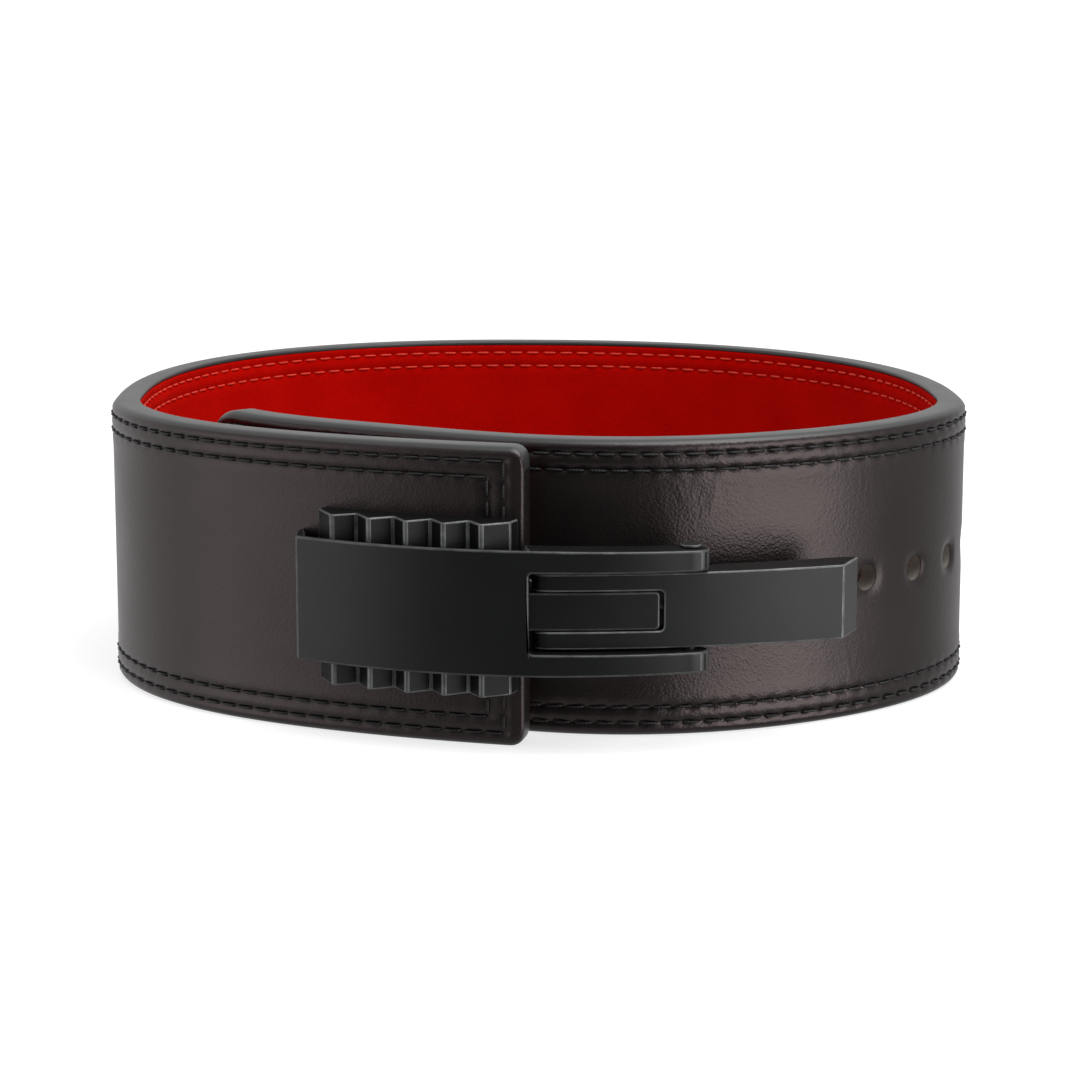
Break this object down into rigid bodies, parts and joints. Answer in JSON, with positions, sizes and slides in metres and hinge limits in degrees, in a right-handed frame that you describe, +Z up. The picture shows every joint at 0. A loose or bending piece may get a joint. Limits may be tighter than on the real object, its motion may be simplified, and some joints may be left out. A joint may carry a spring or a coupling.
{
  "type": "weightlifting belt",
  "caption": "Stiff black leather weightlifting belt with a red suede lining, closed in a ring by a metal lever buckle that hooks on a toothed rack.",
  "frame": {"origin": "middle of the plan outline, at the lower edge that the belt stands on", "axes": "+X to the right along the front of the belt as worn towards the viewer, +Y from the buckle to the back of the ring, +Z up from edge to edge of the band"},
  "size_m": [0.3074, 0.3022, 0.1],
  "materials": {
    "black_leather": "smooth, waxed, with a fine grain and a soft gloss; painted black edges",
    "red_suede": "brushed red suede, matt nap",
    "buckle_paint": "satin black powder paint",
    "pin_steel": "blackened steel, satin"
  },
  "bodies": {
    "strap": {"leather_band": "black_leather", "suede_lining": "red_suede", "tooth_rack": "buckle_paint", "hook_plate": "buckle_paint", "toggle_pin": "pin_steel"},
    "handle": {"lever": "buckle_paint"},
    "frame": {"buckle_frame": "buckle_paint", "hinge_pin": "pin_steel"}
  },
  "joints": [
    {"name": "lever_throw", "type": "hinge", "parent": "strap", "child": "handle", "pos_m": [0.0022, -0.14193, 0.048], "axis": [0, 0, -1], "range_deg": [0, 120]},
    {"name": "frame_swing", "type": "hinge", "parent": "handle", "child": "frame", "pos_m": [0.0495, -0.13995, 0.048], "axis": [0, 0, 1], "range_deg": [0, 120]}
  ],
  "couplings": [
    {"joint": "frame_swing", "follows": "lever_throw", "ratio": 1}
  ]
}
